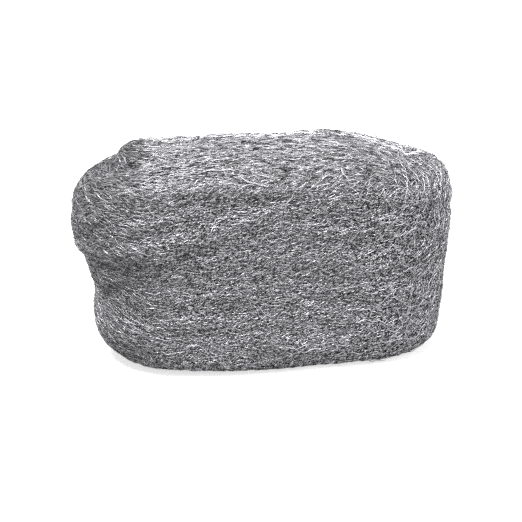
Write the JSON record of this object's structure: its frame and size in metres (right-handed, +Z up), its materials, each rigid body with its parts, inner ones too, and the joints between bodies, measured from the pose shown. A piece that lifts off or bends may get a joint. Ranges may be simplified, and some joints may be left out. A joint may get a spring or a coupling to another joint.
{
  "type": "steel wool bundle",
  "caption": "Bundle of steel wool: one wide ribbon of fine steel fibre wound into a flat roll that stands on its end, for scouring, polishing or packing gaps.",
  "frame": {"origin": "under the middle of the roll's plan, on the surface that it stands on", "axes": "+Z up along the axis the roll is wound about, +X along the roll's long side, -Y towards its front"},
  "size_m": [0.148, 0.0662, 0.0841],
  "materials": {
    "steel_wool": "fine wavy steel fibres, matted along the ribbon, soft grey with small bright glints"
  },
  "bodies": {
    "root": {"steel_wool_roll": "steel_wool"}
  },
  "joints": []
}
